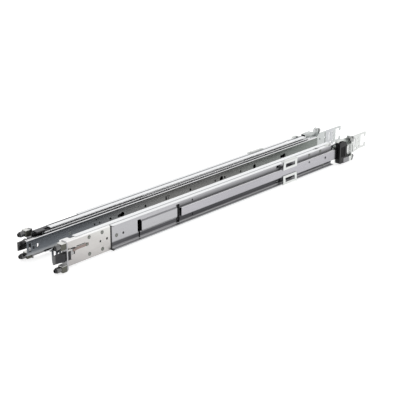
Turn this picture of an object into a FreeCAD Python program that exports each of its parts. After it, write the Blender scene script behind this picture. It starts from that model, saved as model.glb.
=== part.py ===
import FreeCAD, Part
import math
import os

# Pair of sliding rack rails that mount without tools. Millimetres, +Z up, length along Y, front at -Y.
# The right rail is modelled first, with the front mounting plane at Y = 0 and the lowest point at Z = 0.
# The left rail is its mirror image. The origin is under the middle of the pair.

Vec = FreeCAD.Vector

# Rack interface
mount_pitch = 31.75        # outer holes of one rack unit
boss_inset = 5.5           # lowest point up to the lower hole centre
boss_x = 36.0              # hole centre from the middle plane of the pair
flange_height = 42.75
flange_sheet = 2.0
flange_edge = 5.0          # hole centre out to the edge of the flange
block_size = 9.2           # square block for a 9.5 mm square hole
block_chamfer = 0.8
front_block_depth = 8.8
rear_block_depth = 4.4
stud_radius = 4.1          # guide nose that enters the hole
stud_tip_radius = 2.6
stud_nose_length = 3.6     # tapered end of the stud
stud_shank_radius = 2.6
front_stud_reach = 9.5
rear_stud_reach = 6.0
stud_thread_radius = 1.65
stud_thread_depth = 7.0
stud_head_radius = 3.3
stud_head_height = 1.2

# Slide section
sheet = 1.5
bend = 0.8
slide_inner_x = 21.6       # inboard edge of the outer member
slide_depth = 9.0          # inboard edge out to the outboard face of the outer member
slide_height = 37.0
ball_radius = 1.4
groove_depth = 0.4
groove_clearance = 0.06
cage_sheet = 0.6
cage_ball_clearance = 0.15
outer_cage_gap = 0.45      # cage webs clear of the member outside them
inner_cage_gap = 0.3
cage_outer_bend = 1.0
cage_inner_bend = 0.4
outer_ball_x = 24.6
inner_ball_x = 23.2
web_gap = 1.5              # outer web in to the middle web
inner_web_x = 20.6         # inboard face of the inner member
inner_depth = 4.3

# Lengths along the rail, from the front mounting plane
outer_front = 27.0
outer_rear = 598.0
middle_front = 16.0
middle_overrun = 12.0      # middle member past the outer one at the rear
inner_front = -16.0
inner_overrun = 32.0       # inner member past the outer one at the rear
right_slide_inset = 7.0    # right inner member pushed further home than the left one
cage_front = 205.0
cage_length = 230.0
balls_in_row = 3
ball_end_margin = 12.0

# Guide channel on the outboard side
channel_front = 87.4
lip_reach = 6.5            # outboard face of the slide out to the lip edge
pad_front = 146.0          # pad pressed out of the channel's web
pad_rear = 218.8
pad_rise = 2.2
pad_low = 5.9              # pad below and above the middle line
pad_high = 7.3
pad_slope = 1.8
slot_limit = 16.2          # slots in the webs end this far from the middle line
front_slot_length = 6.1    # slot at the front end of the pad
front_slot_low = 7.0
front_slot_high = 10.5
front_slot_tail = 2.4      # width of its narrow tail
rear_slot_length = 7.0     # slot at the rear end of the pad
rear_slot_high = 11.8
rear_slot_taper = 8.0
rear_slot_foot = 3.4
slot_corner = 0.6
clip_lead = 136.0          # clips start this far ahead of the channel's rear end
clip_length = 35.0
clip_sheet = 1.2
clip_window_length = 24.0
clip_window_share = 0.7
clip_grip = 2.2            # clip foot laps over the bar edge
clip_gap = 0.3
clip_lid_inset = 2.0
clip_hole_inset = 4.0
clip_hole_radius = 1.5
stop_lead = 21.0           # stop on the upper lip, ahead of the channel's rear end
stop_length = 15.0
stop_rise = 2.3
pocket_lead = 147.0        # pockets in the web, just ahead of the clips
pocket_length = 8.0
pocket_half = 2.2
notch_lead = 46.0          # notch across the top of channel and outer member
notch_length = 10.0
notch_depth = 3.0
notch_width = 2.6

# Extension bar
bar_gap = 0.3              # bar clear of the channel web
bar_sheet = 1.2
bar_depth = 4.0
bar_half = 7.0
bar_low = 10.8             # rear part of the bar below the middle line
bar_bend = 1.8
bar_front = 226.0
bar_step_lead = 98.0       # deeper rear part starts this far ahead of the channel's rear end

# Rear bracket
post_setback = 48.0        # rear mounting plane behind the channel, rail closed
bracket_clearance = 4.0    # rear bracket behind the channel
bracket_neck = 9.0
rear_rivet_lead = 29.0     # rivets ahead of the rear mounting plane
rear_rivet_spread = 3.0
rear_collar_radius = 2.4
bar_lead = 19.0            # bar ends ahead of the rear mounting plane
tab_length = 23.5
tab_low = 0.8
tab_high = 9.6
tab_corner = 1.5
tab_gap = 0.3
strap_length = 22.0        # strap over the plastic housing
strap_foot = 38.6
strap_rise = 2.2
strap_reach_x = 38.0
arch_sheet = 1.0
arch_slope = 4.0
arch_bend = 2.5

# Front bracket
bracket_rear = 87.0
bracket_corner = 1.5
bracket_drop = 0.5         # top edge of the bracket is lower at the flange
bracket_slope_end = 40.0
roof_front = 3.0
roof_gap = 0.4             # roof ends ahead of the outer member
roof_narrow = 18.0
roof_step = 5.4
roof_corner = 2.0
plate_slot_front = 7.5     # window beside the claw
plate_slot_rear = 22.0
plate_slot_step = 12.5
plate_slot_low = 11.0
plate_slot_floor = 4.0
plate_slot_high = 6.0
slit_front = 25.0          # slim slit above the leaf spring
slit_rear = 41.0
slit_low = 5.6
slit_high = 6.6
guide_front = 6.0
guide_gap = 0.4            # guide clear of the middle member
guide_pad = 8.0            # lower edge of the guide's pad above the middle line
guide_slope = 0.5
rivet_radius = 1.6
rivet_head_radius = 2.4
rivet_head_height = 0.9
rivet_clearance = 0.03
rivet_spread = 12.2        # rivet rows above and below the middle line
bracket_rivet_rows = (48.0, 72.0)

# Latch claws
latch_pivot_back = 7.5     # pivot behind the mounting plane
latch_height = 12.0
latch_barrel_radius = 3.0
latch_pin_radius = 1.25
latch_pin_head = 2.1
latch_pin_overhang = 0.8
latch_pin_clearance = 0.05
latch_pin_fit = 0.02
latch_arm_half = 1.9
latch_nose_half = 1.0
latch_beak = 5.0           # beak tip out from the hole centre
latch_beak_length = 2.2
latch_beak_slope = 0.6
latch_grip = 2.9           # space in front of the plane for the rack post
latch_taper_share = 0.45
front_nose = 20.1
rear_nose = 10.4
front_tail = 18.5
rear_tail = 17.2
tail_sheet = 1.6
tail_gap = 0.2
tail_low = 3.0
tail_high = 5.2
lug_sheet = 1.6
lug_gap = 0.4
latch_window_half = 3.5
latch_window_margin = 0.4

# Leaf spring of the front claw
spring_leaf = 0.5
spring_width = 3.6
spring_low = 1.2
spring_lift = 0.15         # free end clear of the claw's tail
spring_front = 16.8
spring_knee = 19.8
spring_foot = 25.0
spring_rear = 46.5
spring_rivet = 43.5

# Black plastic housing on the rear bracket
housing_lead = 35.5        # front of the housing ahead of the rear mounting plane
housing_length = 19.5
housing_outer_x = 41.2
housing_base = 1.6
housing_top = 38.4
housing_arch = 6.0
housing_corner = 2.5
housing_wall = 2.4
housing_gap = 0.4
housing_room_half = 13.0
grip_inset = 4.0
grip_half = 9.0
grip_depth = 1.2
grip_ribs = 3
rib_width = 1.2

# Cable arm plate, from the rear mounting plane
arm_sheet = 1.5
arm_x = 26.0               # inboard face of the plate behind the rack post
arm_lead = 40.0
arm_jog_lead = 18.0
arm_jog_trail = 10.0
arm_reach = 45.0
arm_low = 13.4             # plate below and above the middle line
arm_high = 14.6
arm_waist = 11.0
arm_foot_drop = 1.5
arm_tip_rise = 1.4
arm_corner = 1.0
hook_reach = 15.0
hook_bar = 3.2
hook_tip = 4.0
hook_drop = 8.0

# Slide lock lever inside the inner member
lock_pivot = 60.0
lock_front = 10.0
lock_rear = 70.0
lock_half = 2.6
lock_pad_length = 16.0
lock_pad_half = 4.9
lock_pad_slope = 3.0
lock_corner = 2.0
lock_sheet = 1.2
lock_gap = 0.5
lock_play = 0.15
lock_head_height = 0.6

# Stud slots and lance in the web of the inner member
stud_entry_radius = 4.0
stud_neck_length = 10.0
stud_neck_half = 2.2
stud_slot_front = 161.5
stud_slot_middle = 378.8
stud_slot_rear = 537.4
lance_front = 251.5
lance_rear = 254.5
lance_tab_front = 258.0
lance_tab_rear = 260.0
lance_tab_rise = 1.2
lance_half = 3.0
tip_window_front = -13.6
tip_window_rear = -9.0
tip_window_low = 5.5
tip_window_high = 6.5

# Round holes as distance along the rail, height from the middle line and radius
bracket_holes = ((68.4, 0.0, 1.6), (80.8, 0.6, 1.8))
channel_holes = ((111.9, 0.0, 1.75), (253.5, 10.7, 1.5), (253.5, -12.0, 1.5), (532.0, -12.2, 1.7))
channel_rivets = ((98.8, 0.0), (537.0, 12.2), (567.0, 12.2), (576.0, -13.6))
bar_holes = ((532.0, 2.0, 1.6), (576.2, -0.7, 2.0))
middle_holes = ((40.0, 0.0, 3.0), (330.0, 0.0, 3.0), (588.0, 0.0, 3.0))
inner_holes = (
    (-5.0, -1.0, 2.0), (2.0, 0.0, 2.7), (106.4, 0.0, 1.5), (110.5, 6.0, 1.5), (116.0, 0.0, 1.5),
    (137.5, 0.0, 2.0), (208.7, 0.0, 2.0), (306.7, 0.0, 2.0), (364.0, 0.0, 1.8), (387.0, 0.0, 1.8),
    (425.1, 0.0, 2.0), (460.2, 0.0, 3.6))
arm_holes = (                # along the rail from the rear mounting plane
    (-2.0, 4.0, 1.6), (13.3, 3.0, 2.0), (35.3, 9.0, 1.8), (38.6, 2.6, 1.8), (38.1, -6.5, 1.8),
    (30.8, -9.5, 2.4))
arm_slot = (25.0, 28.6, -5.0, 9.6)

# Derived values
axis_z = boss_inset + mount_pitch / 2
outer_half = slide_height / 2
ball_gap = 2 * (ball_radius - groove_depth)
middle_half = outer_half - sheet - ball_gap
inner_half = middle_half - sheet - ball_gap
outer_ball_z = outer_half - sheet - ball_gap / 2
inner_ball_z = middle_half - sheet - ball_gap / 2
slide_outer_x = slide_inner_x + slide_depth
middle_outer_x = slide_outer_x - sheet - web_gap
channel_face_x = slide_outer_x + sheet
lip_edge_x = slide_outer_x + lip_reach
bar_x = channel_face_x + bar_gap
bar_outer_x = bar_x + bar_depth
bracket_inner_x = bar_x - sheet
flange_outer_x = boss_x + flange_edge
post_low = axis_z - outer_half
post_high = axis_z + outer_half
middle_rear = outer_rear + middle_overrun
inner_rear = outer_rear + inner_overrun
cage_rear = cage_front + cage_length
mount_depth = outer_rear + post_setback
bar_rear = mount_depth - bar_lead
housing_front = mount_depth - housing_lead
housing_rear = housing_front + housing_length
arm_rear = mount_depth + arm_reach
roof_rear = outer_front - roof_gap
front_tip = -front_nose
rear_tip = arm_rear + hook_reach
shift_y = -(front_tip + rear_tip) / 2


def in_section(y):
    """Place a section drawn in (x, z) at a station along the rail."""
    return lambda a, b: Vec(a, y, b)


def in_side(x):
    """Place an outline drawn in (y, z) at a distance from the middle plane."""
    return lambda a, b: Vec(x, a, b)


def in_plan(z):
    """Place an outline drawn in (x, y) at a height."""
    return lambda a, b: Vec(a, b, z)


def outline(corners, place):
    """Flat face from corners (a, b) or (a, b, radius), with tangent arcs where a radius is given."""
    points = [Vec(c[0], c[1], 0) for c in corners]
    radii = [c[2] if len(c) > 2 else 0 for c in corners]
    starts, middles, ends = [], [], []
    for index, point in enumerate(points):
        back = (points[index - 1] - point).normalize()
        ahead = (points[(index + 1) % len(points)] - point).normalize()
        half_angle = back.getAngle(ahead) / 2
        radius = radii[index]
        run = radius / math.tan(half_angle)
        starts.append(point + back * run)
        ends.append(point + ahead * run)
        bisector = (back + ahead).normalize() if radius else Vec(0, 0, 0)
        middles.append(point + bisector * (radius / math.sin(half_angle) - radius))
    edges = []
    for index, radius in enumerate(radii):
        start, middle, end = (place(p.x, p.y) for p in (starts[index], middles[index], ends[index]))
        if radius:
            edges.append(Part.Arc(start, middle, end).toShape())
        following = starts[(index + 1) % len(points)]
        following = place(following.x, following.y)
        if end.distanceToPoint(following) > 1e-6:
            edges.append(Part.LineSegment(end, following).toShape())
    return Part.Face(Part.Wire(edges))


def rail_run(corners, start, end):
    """Section swept straight along the rail."""
    return outline(corners, in_section(start)).extrude(Vec(0, end - start, 0))


def side_plate(corners, x, thickness):
    """Flat plate that stands along the rail."""
    return outline(corners, in_side(x)).extrude(Vec(thickness, 0, 0))


def plan_plate(corners, z, thickness):
    """Flat or bent plate drawn from above."""
    return outline(corners, in_plan(z)).extrude(Vec(0, 0, thickness))


def block(x0, x1, y0, y1, z0, z1):
    """Box between two corners."""
    return Part.makeBox(x1 - x0, y1 - y0, z1 - z0, Vec(x0, y0, z0))


def rod_x(y, z, radius, x0, x1):
    """Round bar across the rail."""
    return Part.makeCylinder(radius, x1 - x0, Vec(x0, y, z), Vec(1, 0, 0))


def rod_y(x, z, radius, y0, y1):
    """Round bar along the rail."""
    return Part.makeCylinder(radius, y1 - y0, Vec(x, y0, z), Vec(0, 1, 0))


def rod_z(x, y, radius, z0, z1):
    """Upright round bar."""
    return Part.makeCylinder(radius, z1 - z0, Vec(x, y, z0), Vec(0, 0, 1))


def holes_x(spots, x0, x1, start=0.0):
    """Round holes through a web, one tool for each (distance along the rail, height, radius)."""
    return [rod_x(start + y, axis_z + height, radius, x0 - 1, x1 + 1) for y, height, radius in spots]


def rivet_holes(spots, x0, x1):
    """Running holes for rivets at (distance along the rail, height)."""
    return holes_x([(y, height, rivet_radius + rivet_clearance) for y, height in spots], x0, x1)


def rectangle(a0, a1, b0, b1, radius=0):
    """Corner list of a rectangle with one corner radius."""
    return [(a0, b0, radius), (a1, b0, radius), (a1, b1, radius), (a0, b1, radius)]


def c_section(open_x, web_x, low, high, gauge, outer_bend, inner_bend):
    """C section of bent sheet, open towards open_x, with its web ending at web_x."""
    side = 1 if web_x > open_x else -1
    inside_x = web_x - side * gauge
    return [
        (open_x, high),
        (web_x, high, outer_bend),
        (web_x, low, outer_bend),
        (open_x, low),
        (open_x, low + gauge),
        (inside_x, low + gauge, inner_bend),
        (inside_x, high - gauge, inner_bend),
        (open_x, high - gauge),
    ]


def slide_section(open_x, web_x, half):
    """C section of one member of the slide."""
    return c_section(open_x, web_x, axis_z - half, axis_z + half, sheet, bend + sheet, bend)


def arch(start, end, foot, rise, x0, x1):
    """Thin strap that stands on its two ends and is bowed up between them."""
    top = foot + rise
    foot_width = 1.2 * arch_sheet
    inner_slope = arch_slope + 0.4 * arch_sheet
    return side_plate([
        (start, foot), (start + arch_slope, top, arch_bend), (end - arch_slope, top, arch_bend), (end, foot),
        (end - foot_width, foot), (end - inner_slope, top - arch_sheet, arch_bend),
        (start + inner_slope, top - arch_sheet, arch_bend), (start + foot_width, foot)], x0, x1 - x0)


def ball_grooves(x, height, start, end):
    """Round tools that form the two ball tracks of a member."""
    radius = ball_radius + groove_clearance
    return [rod_y(x, axis_z + side * height, radius, start - 1, end + 1) for side in (-1, 1)]


def rivet(y, height, x_in, x_out):
    """Domed rivet across the sheets, flush on the inboard side."""
    shank = rod_x(y, axis_z + height, rivet_radius, x_in, x_out)
    sphere_radius = (rivet_head_radius ** 2 + rivet_head_height ** 2) / (2 * rivet_head_height)
    centre = Vec(x_out + rivet_head_height - sphere_radius, y, axis_z + height)
    dome = Part.makeSphere(sphere_radius, centre).common(
        rod_x(y, axis_z + height, rivet_head_radius + 1, x_out, x_out + rivet_head_height + 1))
    return shank.fuse(dome)


def stud(plane, facing, block_depth, reach, z):
    """Turned stud through a block and the flange, with a blind thread in its end.

    facing is -1 on the front flange and +1 on the rear one; plane is the mounting plane.
    """
    face = plane + facing * block_depth
    tip = face + facing * reach
    head = plane - facing * flange_sheet
    profile = [
        (0, tip - facing * stud_thread_depth),
        (stud_thread_radius, tip - facing * stud_thread_depth),
        (stud_thread_radius, tip),
        (stud_tip_radius, tip),
        (stud_radius, tip - facing * stud_nose_length),
        (stud_radius, face),
        (stud_shank_radius, face),
        (stud_shank_radius, head),
        (stud_head_radius, head),
        (stud_head_radius, head - facing * stud_head_height),
        (0, head - facing * stud_head_height),
    ]
    face_2d = outline(profile, lambda radius, y: Vec(boss_x + radius, y, z))
    return face_2d.revolve(Vec(boss_x, 0, z), Vec(0, 1, 0), 360)


def square_block(plane, facing, depth, z):
    """Square collar that fills one rack hole, chamfered at its free end and bored for the stud."""
    half = block_size / 2
    far = plane + facing * depth
    low, high = min(plane, far), max(plane, far)
    solid = block(boss_x - half, boss_x + half, low, high, z - half, z + half)
    free_edges = [e for e in solid.Edges if all(abs(v.Point.y - far) < 1e-6 for v in e.Vertexes)]
    solid = solid.makeChamfer(block_chamfer, free_edges)
    return solid.cut(rod_y(boss_x, z, stud_shank_radius + rivet_clearance, low - 1, high + 1))


def boss_heights():
    """Heights of the two outer rack holes."""
    return [boss_inset, boss_inset + mount_pitch]


def mounting_flange(plane, facing, inner_x):
    """Upright flange with rounded outboard corners, a stud hole at each end and a claw window."""
    corners = [
        (inner_x, 0),
        (flange_outer_x, 0, flange_edge),
        (flange_outer_x, flange_height, flange_edge),
        (inner_x, flange_height),
    ]
    back = plane if facing < 0 else plane - flange_sheet
    flange = outline(corners, in_section(back)).extrude(Vec(0, flange_sheet, 0))
    holes = [rod_y(boss_x, z, stud_shank_radius + rivet_clearance, back - 1, back + flange_sheet + 1)
             for z in boss_heights()]
    half = latch_height / 2 + lug_gap
    window = block(boss_x - latch_window_half, boss_x + latch_window_half + latch_window_margin,
                   back - 1, back + flange_sheet + 1, axis_z - half, axis_z + half)
    return flange.cut(holes + [window])


def latch_lugs(plane, facing, inner_x):
    """Two ears that carry the claw's pin, bent out of the bracket plate."""
    pivot_y = plane - facing * latch_pivot_back
    near, far = sorted((plane - facing * flange_sheet, pivot_y - facing * latch_barrel_radius))
    low = axis_z - latch_height / 2 - lug_gap - lug_sheet
    high = axis_z + latch_height / 2 + lug_gap
    reach = boss_x + latch_barrel_radius
    ears = []
    for z in (low, high):
        ear = plan_plate(rectangle(inner_x, reach, near, far), z, lug_sheet)
        bore = rod_z(boss_x, pivot_y, latch_pin_radius + latch_pin_fit, z - 1, z + lug_sheet + 1)
        ears.append(ear.cut(bore))
    return ears


def latch_pin(plane, facing):
    """Headed pin of the claw."""
    pivot_y = plane - facing * latch_pivot_back
    half = latch_height / 2 + lug_gap + lug_sheet
    low, high = axis_z - half, axis_z + half
    shank = rod_z(boss_x, pivot_y, latch_pin_radius, low - latch_pin_overhang, high)
    return shank.fuse(rod_z(boss_x, pivot_y, latch_pin_head, high, high + latch_pin_overhang))


def latch_claw(plane, facing, nose, tail, tail_x):
    """Claw that swings on an upright pin, with its beak outboard and its tail along the bracket plate."""
    pivot_y = plane - facing * latch_pivot_back
    inner, outer = boss_x - latch_arm_half, boss_x + latch_arm_half
    beak_x = boss_x + latch_beak
    taper = latch_grip + latch_taper_share * (nose - latch_grip)
    tail_y = plane - facing * tail
    shape = [
        (tail_x, tail_y),
        (tail_x + tail_sheet, tail_y),
        (tail_x + tail_sheet, pivot_y),
        (outer, pivot_y),
        (outer, plane + facing * latch_grip),
        (beak_x, plane + facing * latch_grip),
        (beak_x - latch_beak_slope, plane + facing * (latch_grip + latch_beak_length)),
        (outer, plane + facing * taper),
        (boss_x + latch_nose_half, plane + facing * nose),
        (boss_x - latch_nose_half, plane + facing * nose),
        (inner, plane + facing * taper),
        (inner, pivot_y + facing * latch_barrel_radius),
        (tail_x, pivot_y),
    ]
    low, high = axis_z - latch_height / 2, axis_z + latch_height / 2
    claw = plan_plate(shape, low, latch_height)
    claw = claw.fuse(rod_z(boss_x, pivot_y, latch_barrel_radius, low, high))
    claw = claw.removeSplitter()
    near, far = sorted((tail_y - facing, pivot_y - facing * latch_barrel_radius))
    relief = [block(tail_x - 1, tail_x + tail_sheet + 1, near, far, low - 1, axis_z - tail_low),
              block(tail_x - 1, tail_x + tail_sheet + 1, near, far, axis_z + tail_high, high + 1)]
    bore = rod_z(boss_x, pivot_y, latch_pin_radius + latch_pin_clearance, low - 1, high + 1)
    return claw.cut(relief + [bore])


def bracket_rivets():
    """Rivets that hold the front bracket on the outer member, as (distance along the rail, height)."""
    return [(y, side * rivet_spread) for y in bracket_rivet_rows for side in (-1, 1)]


def rear_rivets():
    """Rivets that join bar, rear bracket and cable arm plate."""
    return [(mount_depth - rear_rivet_lead, side * rear_rivet_spread) for side in (-1, 1)]


def spring_rivets():
    """The rivet at the fixed end of the leaf spring."""
    return [(spring_rivet, spring_low + spring_width / 2)]


def front_bracket():
    """Side plate, roof strip and mounting flange bent from one sheet."""
    low, high = post_low, post_high
    outer_x = slide_outer_x + sheet
    side = side_plate([
        (0, low), (bracket_rear, low, bracket_corner), (bracket_rear, high, bracket_corner),
        (bracket_slope_end, high), (roof_narrow, high - bracket_drop), (0, high - bracket_drop)],
        slide_outer_x, sheet)
    roof = plan_plate([
        (slide_inner_x, roof_front, roof_corner), (outer_x, roof_front), (outer_x, roof_rear),
        (slide_inner_x + roof_step, roof_rear), (slide_inner_x + roof_step, roof_narrow),
        (slide_inner_x, roof_narrow, roof_corner)], high - bracket_drop - sheet, sheet)
    body = side.fuse([roof, mounting_flange(0, -1, slide_outer_x)] + latch_lugs(0, -1, slide_outer_x))
    window = side_plate([
        (plate_slot_front, axis_z - plate_slot_low, slot_corner),
        (plate_slot_step, axis_z - plate_slot_low, slot_corner),
        (plate_slot_step, axis_z - plate_slot_floor),
        (plate_slot_rear, axis_z - plate_slot_floor, slot_corner),
        (plate_slot_rear, axis_z + plate_slot_high, slot_corner),
        (plate_slot_front, axis_z + plate_slot_high, slot_corner)], slide_outer_x - 1, sheet + 1.5)
    slit = side_plate(rectangle(slit_front, slit_rear, axis_z + slit_low, axis_z + slit_high),
                      slide_outer_x - 1, sheet + 2)
    holes = rivet_holes(bracket_rivets() + spring_rivets(), slide_outer_x, outer_x)
    holes += holes_x(bracket_holes, slide_outer_x, outer_x)
    return body.cut(holes + [window, slit]).removeSplitter()


def latch_spring():
    """Leaf spring that keeps the front claw hooked: flat end on the plate, free end on the claw's tail."""
    base_x = slide_outer_x + sheet
    lift = tail_sheet + tail_gap + spring_lift
    shape = [
        (base_x, spring_rear), (base_x, spring_foot), (base_x + lift, spring_knee),
        (base_x + lift, spring_front), (base_x + lift + spring_leaf, spring_front),
        (base_x + lift + spring_leaf, spring_knee + tail_gap),
        (base_x + spring_leaf, spring_foot + tail_gap), (base_x + spring_leaf, spring_rear)]
    strip = plan_plate(shape, axis_z + spring_low, spring_width)
    return strip.cut(rivet_holes(spring_rivets(), base_x, base_x + spring_leaf))


def web_slots():
    """Tools for the slots at the two ends of the pad, through the webs of channel and outer member."""
    front = pad_front - front_slot_length
    tail = pad_front - (front_slot_length - front_slot_tail) / 2
    wide = rectangle(front, pad_front, axis_z - front_slot_low, axis_z + front_slot_high, slot_corner)
    narrow = rectangle(tail - front_slot_tail, tail, axis_z - slot_limit, axis_z - front_slot_low + 1)
    rear = pad_rear + rear_slot_length
    inset = (rear_slot_length - rear_slot_foot) / 2
    tapered = [
        (pad_rear, axis_z + rear_slot_high, slot_corner), (rear, axis_z + rear_slot_high, slot_corner),
        (rear, axis_z - rear_slot_taper), (rear - inset, axis_z - slot_limit),
        (pad_rear + inset, axis_z - slot_limit), (pad_rear, axis_z - rear_slot_taper)]
    return [side_plate(shape, slide_outer_x - 2 * sheet, 4 * sheet) for shape in (wide, narrow, tapered)]


def web_pockets():
    """Tools for the two pockets just ahead of the clips."""
    front = outer_rear - pocket_lead
    return [block(slide_outer_x - 2 * sheet, channel_face_x + 1, front, front + pocket_length,
                  axis_z + side * rivet_spread - pocket_half, axis_z + side * rivet_spread + pocket_half)
            for side in (-1, 1)]


def top_notch():
    """Tool for the notch across the top edge of channel and outer member."""
    front = outer_rear - notch_lead
    return block(slide_outer_x - notch_width, channel_face_x + bend, front, front + notch_length,
                 post_high - notch_depth, post_high + 1)


def outer_member():
    """Fixed member of the slide, with the outer ball tracks inside its flanges."""
    body = rail_run(slide_section(slide_inner_x, slide_outer_x, outer_half), outer_front, outer_rear)
    holes = rivet_holes(bracket_rivets() + list(channel_rivets), slide_outer_x - sheet, slide_outer_x)
    holes += holes_x(bracket_holes + channel_holes, slide_outer_x - sheet, slide_outer_x)
    tracks = ball_grooves(outer_ball_x, outer_ball_z, outer_front, outer_rear)
    return body.cut(tracks + holes + web_slots() + web_pockets() + [top_notch()])


def pressed_pad(low_x, high_x, edge):
    """Section of the pad between two distances from the middle plane, widened by edge on both sides."""
    return rail_run([
        (low_x, axis_z - pad_low - pad_slope - edge), (high_x, axis_z - pad_low - edge),
        (high_x, axis_z + pad_high + edge), (low_x, axis_z + pad_high + pad_slope + edge)],
        pad_front, pad_rear)


def guide_channel():
    """Channel open outboard that carries the extension bar, with a pad pressed out of its web."""
    low, high = post_low, post_high
    body = rail_run([
        (lip_edge_x, low), (lip_edge_x, low + sheet), (channel_face_x, low + sheet, bend),
        (channel_face_x, high - sheet, bend), (lip_edge_x, high - sheet), (lip_edge_x, high),
        (slide_outer_x, high), (slide_outer_x, low)], channel_front, outer_rear)
    body = body.fuse(pressed_pad(channel_face_x, channel_face_x + pad_rise, 0))
    hollow = pressed_pad(slide_outer_x, slide_outer_x + pad_rise, -sheet / 2)
    holes = rivet_holes(channel_rivets, slide_outer_x, channel_face_x)
    holes += holes_x(channel_holes, slide_outer_x, channel_face_x)
    return body.cut(holes + web_slots() + web_pockets() + [hollow, top_notch()]).removeSplitter()


def guide_clip(side):
    """Sheet clip over one lip: a lid on the lip, a windowed panel and a foot that laps the bar."""
    def up(height):
        return axis_z + side * height
    start = outer_rear - clip_lead
    end = start + clip_length
    lid = outer_half + clip_sheet
    edge_x = lip_edge_x + clip_gap + clip_sheet
    foot_x = bar_outer_x + clip_gap
    shoulder = bar_half + clip_gap
    knee = outer_half - sheet - clip_gap
    lid_x = slide_outer_x + clip_lid_inset
    section = [
        (lid_x, up(outer_half)), (lid_x, up(lid)), (edge_x, up(lid), clip_sheet + 0.2), (edge_x, up(knee)),
        (foot_x + clip_sheet, up(shoulder)), (foot_x + clip_sheet, up(bar_half - clip_grip)),
        (foot_x, up(bar_half - clip_grip)), (foot_x, up(shoulder)), (edge_x - clip_sheet, up(knee)),
        (edge_x - clip_sheet, up(outer_half))]
    clip = rail_run(section, start, end)
    middle = (start + end) / 2
    span = (knee - shoulder) * clip_window_share / 2
    centre = (knee + shoulder) / 2
    window = block(foot_x - 1, edge_x + 1, middle - clip_window_length / 2, middle + clip_window_length / 2,
                   min(up(centre - span), up(centre + span)), max(up(centre - span), up(centre + span)))
    hole = rod_z(lid_x + clip_lid_inset, start + clip_hole_inset, clip_hole_radius, up(lid) - 3, up(lid) + 3)
    return clip.cut([window, hole])


def lip_stop():
    """Bowed stop on the upper lip near the channel's rear end."""
    start = outer_rear - stop_lead
    return arch(start, start + stop_length, post_high, stop_rise, slide_outer_x + clip_lid_inset, lip_edge_x)


def middle_member():
    """Intermediate member, with ball tracks outside and inside its flanges."""
    body = rail_run(slide_section(slide_inner_x, middle_outer_x, middle_half), middle_front, middle_rear)
    grooves = ball_grooves(outer_ball_x, outer_ball_z, middle_front, middle_rear)
    grooves += ball_grooves(inner_ball_x, inner_ball_z, middle_front, middle_rear)
    return body.cut(grooves + holes_x(middle_holes, middle_outer_x - sheet, middle_outer_x))


def stud_slot(y, neck_length):
    """Entry hole that takes the head of a server's stud, with a neck ahead of it that holds the stud."""
    entry = rod_x(y, axis_z, stud_entry_radius, inner_web_x - 1, inner_web_x + sheet + 1)
    neck = side_plate(rectangle(y - neck_length, y, axis_z - stud_neck_half, axis_z + stud_neck_half,
                                stud_neck_half - 0.1), inner_web_x - 1, sheet + 2)
    return entry.fuse(neck)


def inner_member():
    """Inner member that bolts to the server, with stud slots in its web."""
    outer_x = inner_web_x + sheet
    section = slide_section(inner_web_x + inner_depth, inner_web_x, inner_half)
    body = rail_run(section, inner_front, inner_rear)
    tab = block(inner_web_x - lance_tab_rise, inner_web_x + bend, lance_tab_front, lance_tab_rear,
                axis_z - lance_half, axis_z + lance_half)
    body = body.fuse(tab)
    window = side_plate(rectangle(tip_window_front, tip_window_rear, axis_z - tip_window_low,
                                  axis_z + tip_window_high, slot_corner), inner_web_x - 1, sheet + 2)
    lance = side_plate(rectangle(lance_front, lance_rear, axis_z - lance_half, axis_z + lance_half),
                       inner_web_x - 1, sheet + 2)
    slots = [stud_slot(y, stud_neck_length) for y in (stud_slot_front, stud_slot_rear)]
    holes = holes_x(inner_holes + ((stud_slot_middle, 0.0, stud_entry_radius),), inner_web_x, outer_x)
    holes += rivet_holes([(lock_pivot, 0.0)], inner_web_x, outer_x)
    tracks = ball_grooves(inner_ball_x, inner_ball_z, inner_front, inner_rear)
    return body.cut(tracks + holes + slots + [window, lance])


def ball_spots(x, height):
    """Centres of the balls of one retainer, two rows of them."""
    span = cage_rear - cage_front - 2 * ball_end_margin
    step = span / (balls_in_row - 1)
    return [Vec(x, cage_front + ball_end_margin + step * index, axis_z + side * height)
            for side in (-1, 1) for index in range(balls_in_row)]


def ball_cage(open_x, web_x, ball_x, height):
    """Retainer strip: a thin C section with a hole for each ball."""
    half = height + cage_sheet / 2
    strip = rail_run(c_section(open_x, web_x, axis_z - half, axis_z + half, cage_sheet,
                               cage_outer_bend, cage_inner_bend), cage_front, cage_rear)
    holes = [rod_z(p.x, p.y, ball_radius + cage_ball_clearance, p.z - ball_radius, p.z + ball_radius)
             for p in ball_spots(ball_x, height)]
    return strip.cut(holes)


def balls(x, height):
    """Steel balls of one retainer."""
    return Part.makeCompound([Part.makeSphere(ball_radius, p) for p in ball_spots(x, height)])


def slide_lock():
    """Lever inside the inner member that locks the slide open, with a finger pad at its front."""
    x = inner_web_x + sheet + lock_gap
    pad_end = lock_front + lock_pad_length
    plate = side_plate([
        (lock_front, axis_z - lock_pad_half, lock_corner), (pad_end, axis_z - lock_pad_half, lock_corner),
        (pad_end + lock_pad_slope, axis_z - lock_half), (lock_rear, axis_z - lock_half, lock_corner),
        (lock_rear, axis_z + lock_half, lock_corner), (pad_end + lock_pad_slope, axis_z + lock_half),
        (pad_end, axis_z + lock_pad_half, lock_corner), (lock_front, axis_z + lock_pad_half, lock_corner)],
        x, lock_sheet)
    bore = rod_x(lock_pivot, axis_z, rivet_radius + latch_pin_clearance, x - 1, x + lock_sheet + 1)
    return plate.cut(bore)


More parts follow.
